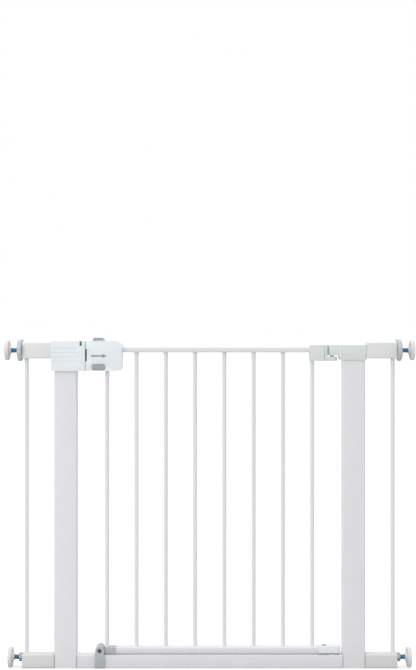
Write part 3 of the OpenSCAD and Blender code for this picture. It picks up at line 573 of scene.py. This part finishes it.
def housing(node, keep_from, keep_to, openings=()):
    """A housing shell with a rounded outer rim between two stations along X."""
    low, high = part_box(node)
    face_y = low.y if abs(low.y) > abs(high.y) else high.y

    def on_rim(point):
        inside = any(a.x < point.x < b.x and a.z < point.z < b.z for a, b in openings)
        return abs(point.y - face_y) < NEAR and keep_from < point.x < keep_to and not inside

    shape = rounded_edges(copied(node), RIM, 5, on_rim)
    return rounded_edges(shape, MOULD_EDGE, 2, sharper_than=50)


BUTTON_MARGIN = Vector((1, 1, 1)) * 0.4 * MM
button_low, button_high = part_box("push_button")
handle_low, handle_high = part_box("handle_front")
button_opening = (button_low - BUTTON_MARGIN, button_high + BUTTON_MARGIN)
piece("handle_front", housing("handle_front", handle_low.x + 3 * MM, 1.0, [button_opening]))
piece("handle_rear", rounded_edges(copied("handle_rear"), 0.6 * MM, 3, sharper_than=50))
piece("latch_cap_front", rounded_edges(copied("latch_cap_front"), 0.35 * MM, 3, sharper_than=50))
piece("latch_cap_rear", rounded_edges(copied("latch_cap_rear"), 0.6 * MM, 3, sharper_than=50))

# %% [markdown]
# ## The other mouldings and small parts
#
# These keep the mechanical part's shape with moulded edges. The radius of each is the one its process
# leaves: about a millimetre on a bracket, less on a small button, and hardly any on turned steel.

# %% Brackets, hinges, stop and latch parts
EDGE_RADII = {
    "hinge_post_cap": 1.2, "upper_hinge_cover": 0.8, "upper_hinge_foot": 0.8, "lower_hinge_cap": 0.9,
    "left_top_bracket": 0.9, "left_bottom_bracket": 0.9,
    "right_top_bracket": 0.9, "right_bottom_bracket": 0.9,
    "post_foot_plugs": 0.3, "latch_bolt": 0.6, "keeper_plate": 0.2, "lower_hinge_washer": 0.3,
    "indicator_flag": 0.15, "indicator_window": 0.3, "upper_hinge_pin": 0.5, "lower_hinge_pin": 0.5,
    "lower_hinge_base": 0.4, "extension_studs": 0.4, "latch_cap_screws": 0.15, "handle_screws": 0.15,
    "stop_screw": 0.25, "stop_nut": 0.2,
}
OWN_FINISH = {
    "hinge_post_cap": hinge_abs, "upper_hinge_cover": hinge_abs, "upper_hinge_foot": hinge_abs,
    "left_top_bracket": bracket_abs, "right_top_bracket": bracket_abs,
    # The bottom brackets take the darker copy of the bracket white, which is painted shade.
    "left_bottom_bracket": lower_bracket_painted_shade_abs, "right_bottom_bracket": lower_bracket_painted_shade_abs,
    "stop_screw": black_screw,
}
for node, radius in EDGE_RADII.items():
    piece(node, rounded_edges(copied(node), radius * MM, 3), OWN_FINISH.get(node))
for node, radius in (("stop_front_jaw", 0.9), ("stop_rear_jaw", 0.9), ("door_tongue", 0.6)):
    piece(node, rounded_edges(copied(node), radius * MM, 3), stop_abs)
piece("push_button", rounded_edges(copied("push_button"), 1.0 * MM, 4), button_abs)
piece("thumb_slide", rounded_edges(copied("thumb_slide"), 0.8 * MM, 4), slide_abs)
print("rounded", len(EDGE_RADII) + 5, "small parts")

# %% [markdown]
# ## Pan-head screws
#
# Three nodes hold plain pan-head screws. The head is a low dome with a cross for the driver. The dome is
# turned, and a tapered cross is cut into it.

# %% Screws with a cross recess
SHANK_RADIUS = 1.5 * MM
HEAD_HEIGHT = 1.8 * MM
CROSS_DEPTH = 1.1 * MM


def cross_cutter(centre, axis, top, size, depth, inward):
    """Two tapered blades at right angles, as a driver's tip."""
    blades = []
    for wide, narrow in ((size, size * 0.26), (size * 0.26, size)):
        loops = []
        for share, along in ((1.0, top - inward * 0.5 * MM), (1.0, top), (0.55, top + inward * depth)):
            half_u, half_v = wide * share / 2, narrow * share / 2
            outline = [(-half_u, -half_v), (half_u, -half_v), (half_u, half_v), (-half_u, half_v)]
            loops.append([AXES[axis](centre[0] + u, centre[1] + v, along) for u, v in outline])
        blades.append(skin(loops))
    return blades


def pan_screw(centre, axis, head, shank_end, head_radius, inward):
    """A domed head from its top at station head, and a shank that ends at shank_end."""
    under = head + inward * HEAD_HEIGHT
    dome = [
        (head_radius * math.sin(a), head + inward * HEAD_HEIGHT * 0.75 * (1 - math.cos(a)))
        for a in (math.radians(d) for d in (8, 30, 50, 70, 90))
    ]
    profile = dome + [(head_radius, under), (SHANK_RADIUS, under), (SHANK_RADIUS, shank_end)]
    return combined(
        turned(profile, centre, axis, 40),
        cross_cutter(centre, axis, head, head_radius * 1.1, CROSS_DEPTH, inward),
    )


low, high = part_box("hinge_cap_screws")
centre_z = (low.z + high.z) / 2
radius = (high.z - low.z) / 2
two = [pan_screw((x, centre_z), "Y", high.y, low.y, radius, -1) for x in (low.x + radius, high.x - radius)]
piece("hinge_cap_screws", joined(two))
low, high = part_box("hinge_cover_screws")
centre = ((low.x + high.x) / 2, (low.z + high.z) / 2)
piece("hinge_cover_screws", pan_screw(centre, "Y", high.y, low.y, (high.z - low.z) / 2, -1))
low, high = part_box("lower_cap_screw")
centre = ((low.x + high.x) / 2, 0.0)
piece("lower_cap_screw", pan_screw(centre, "Z", high.z, low.z, (high.x - low.x) / 2, -1))

# %% [markdown]
# ## Springs
#
# A compression spring's end turns lie flat on each other and its middle turns are spread evenly. So the
# wire's height along the axis isn't a straight function of the angle: it rises by one wire thickness a
# turn at the ends and faster between them. Each spring sits between two bodies; here it is taken off its
# body and stays fixed where it is built, so it doesn't stretch or close as the bolt, the button or the
# flag moves.

# %% Coil springs
AXIS_OF = {"bolt_spring": "X", "flag_spring": "X", "button_spring": "Y"}


def coil(node, wire, turns, steps=20, sides=8):
    """A spring wire inside a part's box."""
    axis = AXIS_OF[node]
    low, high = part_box(node)
    name = axis.lower()
    start, stop = getattr(low, name) + wire / 2, getattr(high, name) - wire / 2
    cross = ("x", "z") if axis == "Y" else ("y", "z")
    centre = [(getattr(low, c) + getattr(high, c)) / 2 for c in cross]
    radius = (high.z - low.z) / 2 - wire / 2
    spread = stop - start - 2 * wire
    path = []
    for i in range(turns * steps + 1):
        turn = i / steps
        middle = min(max(turn - 1, 0), turns - 2) / (turns - 2)
        closed = min(turn, 1) + max(turn - turns + 1, 0)
        angle = 2 * math.pi * turn
        along = start + closed * wire + middle * spread
        across = (centre[0] + radius * math.cos(angle), centre[1] + radius * math.sin(angle))
        path.append(Vector(AXES[axis](*across, along)))
    middle_line = Vector(AXES[axis](centre[0], centre[1], 0))
    direction = Vector(AXES[axis](0, 0, 1))
    loops = []
    for i, point in enumerate(path):
        tangent = (path[min(i + 1, len(path) - 1)] - path[max(i - 1, 0)]).normalized()
        offset = point - middle_line
        outward = (offset - direction * offset.dot(direction)).normalized()
        upward = tangent.cross(outward).normalized()
        loops.append([
            point + (outward * math.cos(a) + upward * math.sin(a)) * wire / 2
            for a in (2 * math.pi * k / sides for k in range(sides))
        ])
    return skin(loops)


def spring(node, wire, turns, fixed_end_first):
    """A spring's piece, taken off its body and left fixed where it is built."""
    made = piece(node, coil(node, wire, turns))
    low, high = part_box(node)
    middle = (low + high) / 2
    ends = [middle.copy(), middle.copy()]
    name = AXIS_OF[node].lower()
    setattr(ends[0], name, getattr(low, name))
    setattr(ends[1], name, getattr(high, name))
    if not fixed_end_first:
        ends.reverse()
    made.parent = None
    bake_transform(made)


spring("bolt_spring", 0.8 * MM, 9, False)
spring("button_spring", 0.7 * MM, 6, False)
spring("flag_spring", 0.7 * MM, 6, True)

# %% [markdown]
# ## Spindles, wheels, nuts and pads
#
# Each corner has a steel spindle with a rubber-faced wall pad on its end. The upper ones carry a hand
# wheel and the lower ones a hex nut, and turning either pushes the pad out. The thread is real geometry:
# a ring's radius depends on how far round and how far along it is, so the crest winds along the rod at
# 1.5 mm a turn, as on an M10 spindle.

# %% Threaded spindles
PITCH = 1.5 * MM
THREAD_DEPTH = 0.45 * MM
END_TAPER = 0.6 * MM
STEPS_A_TURN = 6


def threaded(node):
    low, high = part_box(node)
    centre = ((low.y + high.y) / 2, (low.z + high.z) / 2)
    crest = (high.z - low.z) / 2
    count = int((high.x - low.x) / PITCH * STEPS_A_TURN)
    loops = []
    for i in range(count + 1):
        along = low.x + (high.x - low.x) * i / count
        ends = min(i, count - i) / STEPS_A_TURN

        def radius(angle):
            phase = (along / PITCH - angle / (2 * math.pi)) % 1.0
            valley = max(0.0, 1 - abs(phase - 0.5) * 2.6)
            return crest - THREAD_DEPTH * valley - END_TAPER * max(0.0, 1 - ends)

        loops.append(ring(centre, radius, "X", along, 30))
    return skin(loops)


corners = [side + level for side in ("left", "right") for level in ("_top", "_bottom")]
for corner in corners:
    piece(corner + "_spindle", threaded(corner + "_spindle"), smooth_below=60)
low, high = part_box("left_top_spindle")
print("thread turns", round((high.x - low.x) / PITCH, 1))

# %% [markdown]
# A pad is turned from one profile: a disc with a soft rim, a cone that grips the spindle, and on its face
# shallow rings that bite on the wall. The profile is written from the wall inwards, and flipped for the
# right-hand side.

# %% Wall pads
SEAT_DEPTH = 4
PAD_THICK = 8


def pad(corner):
    node = corner + "_pad"
    low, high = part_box(node)
    left = corner.startswith("left")
    wall, inward = (low.x, 1) if left else (high.x, -1)
    rim = (high.z - low.z) / 2 / MM
    centre = (0.0, (low.z + high.z) / 2)
    spindle_low, spindle_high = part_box(corner + "_spindle")
    bore = (spindle_high.z - spindle_low.z) / 2 / MM
    neck = (high.x - low.x) / MM
    points = [(0.5, 0.9), (4, 0.9), (4.8, 0.0), (7.2, 0.0), (8, 0.9), (10, 0.9), (10.8, 0.0), (13.2, 0.0)]
    points += [(14, 0.9), (16, 0.9), (16.8, 0.0), (rim - 0.9, 0.0), (rim - 0.25, 0.25), (rim, 0.9)]
    points += [(rim, PAD_THICK - 1.3), (rim - 0.35, PAD_THICK - 0.45), (rim - 1.2, PAD_THICK - 0.05)]
    points += [(rim - 2, PAD_THICK), (9.8, PAD_THICK), (8.9, PAD_THICK + 0.3), (8.5, PAD_THICK + 1.2)]
    points += [(7.4, neck - 0.5), (6.8, neck), (bore, neck), (bore, SEAT_DEPTH), (0.5, SEAT_DEPTH)]
    profile = [(r * MM, wall + inward * along * MM) for r, along in points]
    return turned(profile, centre, "X", 64, wrap=True)


for corner in corners:
    piece(corner + "_pad", pad(corner), smooth_below=50)

# %% [markdown]
# The hand wheel has ten finger scallops. They fade in from the rounded shoulders, so the rim's radius is
# a function of the angle and of how far the ring lies from the wheel's middle.

# %% Hand wheels
SCALLOPS = 10
SCALLOP_DEPTH = 1.1
WHEEL_THICK = 10.2 * MM
THREAD_BORE = 5.06 * MM


def wheel(side):
    node = side + "_top_wheel"
    low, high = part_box(node)
    left = side == "left"
    near, inward = (low.x, 1) if left else (high.x, -1)
    centre = (0.0, (low.z + high.z) / 2)
    rim = (high.y - low.y) / 2
    stations = (
        (6.5, 0.0), (8.5, 0.1), (9.5, 1.0), (rim / MM - 6.5, 1.2), (rim / MM - 4, 0.1),
        (rim / MM - 1.4, 0.8), (rim / MM - 0.35, 1.9), (rim / MM, 3.2),
    )
    profile = [(r, along) for r, along in stations]
    profile += [(r, WHEEL_THICK / MM - along) for r, along in reversed(stations)]
    loops = []
    for r, along in profile:
        depth = SCALLOP_DEPTH * max(0.0, 1 - (rim / MM - r) / 5)

        def radius(angle, r=r, depth=depth):
            dip = max(0.0, math.cos(SCALLOPS * angle)) ** 1.5
            return (r - depth * dip) * MM

        loops.append(ring(centre, radius, "X", near + inward * along * MM, 120))
    for along in (WHEEL_THICK / MM, 0.0):
        loops.append(ring(centre, THREAD_BORE, "X", near + inward * along * MM, 120))
    return skin(loops, wrap=True), centre, rim, near + inward * WHEEL_THICK


for side in ("left", "right"):
    shape, centre, rim, back = wheel(side)
    low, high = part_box(side + "_top_wheel")
    lug_x = sorted((back - 1 * MM, high.x)) if side == "left" else sorted((low.x, back + 1 * MM))
    top = centre[1] + rim
    outline = rounded(-1.6 * MM, 1.6 * MM, top - 3.2 * MM, top - 0.4 * MM, 0.5 * MM, 3)
    lug = prism(outline, "X", *lug_x)
    piece(side + "_top_wheel", combined(shape, [lug], "UNION"), smooth_below=45)

# %% [markdown]
# A hex nut isn't a plain six-sided prism. Its corners are chamfered at 30 degrees by a cone, which leaves
# the curved line on each flat that says "nut" to the eye. Each ring takes the smaller of the hexagon and
# the cone.

# %% Hex nuts
FACE_SHARE = 0.96
BORE_CHAMFER = 0.5 * MM
BORE_CHAMFER_LONG = 0.6 * MM


def hex_nut(node):
    low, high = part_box(node)
    centre = (0.0, (low.z + high.z) / 2)
    flat = min(high.y - low.y, high.z - low.z) / 2
    corner = flat / math.cos(math.pi / 6)
    hex_turn = 0 if (high.y - low.y) > (high.z - low.z) else math.pi / 6
    length = high.x - low.x

    def hexagon(angle):
        return flat / math.cos((angle - hex_turn + math.pi / 6) % (math.pi / 3) - math.pi / 6)

    loops = []
    chamfer = (corner - flat * FACE_SHARE) * math.tan(math.pi / 6)
    rises = [chamfer * i / 4 for i in range(5)]
    for rise in rises + [length - r for r in reversed(rises)]:
        cone = flat * FACE_SHARE + min(rise, length - rise) / math.tan(math.pi / 6)
        loops.append(ring(centre, lambda a, c=cone: min(hexagon(a), c), "X", low.x + rise, 72))
    loops.append(ring(centre, THREAD_BORE + BORE_CHAMFER, "X", high.x, 72))
    loops.append(ring(centre, THREAD_BORE, "X", high.x - BORE_CHAMFER_LONG, 72))
    loops.append(ring(centre, THREAD_BORE, "X", low.x + BORE_CHAMFER_LONG, 72))
    loops.append(ring(centre, THREAD_BORE + BORE_CHAMFER, "X", low.x, 72))
    return skin(loops, wrap=True)


for side in ("left", "right"):
    piece(side + "_bottom_nut", hex_nut(side + "_bottom_nut"))

# %% [markdown]
# ## The printed mark
#
# The handle's front carries a small printed sign. Here it is a plain arrow that shows which way the slide
# moves. It is a film of ink, so it stands only a tenth of a millimetre proud.

# %% Arrow on the handle
SHAFT, HEAD, LONG = 3.2 * MM, 9.0 * MM, 34 * MM
mark_x = handle_low.x + 28.5 * MM
mark_z = handle_high.z - 32 * MM
arrow = [
    (mark_x - LONG / 2, mark_z - SHAFT / 2), (mark_x + LONG / 2 - HEAD, mark_z - SHAFT / 2),
    (mark_x + LONG / 2 - HEAD, mark_z - HEAD / 2), (mark_x + LONG / 2, mark_z),
    (mark_x + LONG / 2 - HEAD, mark_z + HEAD / 2), (mark_x + LONG / 2 - HEAD, mark_z + SHAFT / 2),
    (mark_x - LONG / 2, mark_z + SHAFT / 2),
]
shape = prism(arrow, "Y", handle_low.y - 0.1 * MM, handle_low.y + 0.2 * MM)
mesh = bpy.data.meshes.new("slide_arrow")
shape.to_mesh(mesh)
shape.free()
mesh.materials.append(moulded_abs("pad_printed_ink", "#8b949b", "#838c93", (0.3, 0.4)))
mark = bpy.data.objects.new("slide_arrow", mesh)
bpy.context.scene.collection.objects.link(mark)
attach(mark, body_of["handle_front"])

# %% [markdown]
# ## Floor, light and camera
#
# A white gate on a white ground needs soft light with a direction. The world is an even white for the
# surround, a large lamp at the front left shades the round bars, and a larger, weaker one overhead lights
# the tops. The floor is a light grey paper, so that it throws little light back at the gate. What looks at
# it directly sees it lifted to white by a glow that lights nothing else. The colours are shown as they
# are, with no film look.

# %% Floor
FLOOR_RADIUS = 40
FLOOR_DROP = 0.2 * MM
CAMERA_LIFT = 0.5
ground = bmesh.new()
bmesh.ops.create_circle(ground, cap_ends=True, segments=96, radius=FLOOR_RADIUS)
floor_mesh = bpy.data.meshes.new("floor")
ground.to_mesh(floor_mesh)
ground.free()
floor = bpy.data.objects.new("floor", floor_mesh)
floor.location.z = -FLOOR_DROP
bpy.context.scene.collection.objects.link(floor)
paper = base_finish(
    "studio_paper", "#c4c4c4", "#c2c2c2", (0.75, 0.85), 30, 0.02, drift_mm=900, Emission_Color=(1, 1, 1, 1)
)
seen = add(paper.node_tree, "LightPath").outputs["Is Camera Ray"]
lift = add(paper.node_tree, "MapRange", (("Value", seen), ("To Max", CAMERA_LIFT)))
paper_glow = paper.node_tree.nodes["Principled BSDF"].inputs["Emission Strength"]
paper.node_tree.links.new(lift.outputs[0], paper_glow)
floor_mesh.materials.append(paper)

# %% Light
world = bpy.data.worlds.new("studio")
world.use_nodes = True
backdrop = world.node_tree.nodes["Background"]
backdrop.inputs["Color"].default_value = (1, 1, 1, 1)
backdrop.inputs["Strength"].default_value = 1.0
bpy.context.scene.world = world
bpy.context.scene.view_settings.view_transform = "Standard"


def lamp(name, place, aim, size, power):
    """A large square lamp that points at a place."""
    light = bpy.data.lights.new(name, "AREA")
    light.size = size
    light.energy = power
    made = bpy.data.objects.new(name, light)
    made.location = place
    made.rotation_euler = (Vector(aim) - Vector(place)).to_track_quat("-Z", "Y").to_euler()
    bpy.context.scene.collection.objects.link(made)


lamp("key", (-2.4, -2.2, 1.5), (0, 0, 0.35), 1.4, 23)
lamp("overhead", (0, 0.1, 2.8), (0, 0, 0.2), 2.0, 11)

# %% Camera
LENS = 63.3
DISTANCE = 2.56
EYE_HEIGHT = 0.7244
EYE_X = -3.7 * MM
camera = bpy.data.objects.new("camera", bpy.data.cameras.new("camera"))
camera.data.lens = LENS
camera.location = (EYE_X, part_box("left_post")[0].y - DISTANCE, EYE_HEIGHT)
camera.rotation_euler = (math.pi / 2, 0, 0)
bpy.context.scene.collection.objects.link(camera)
bpy.context.scene.camera = camera
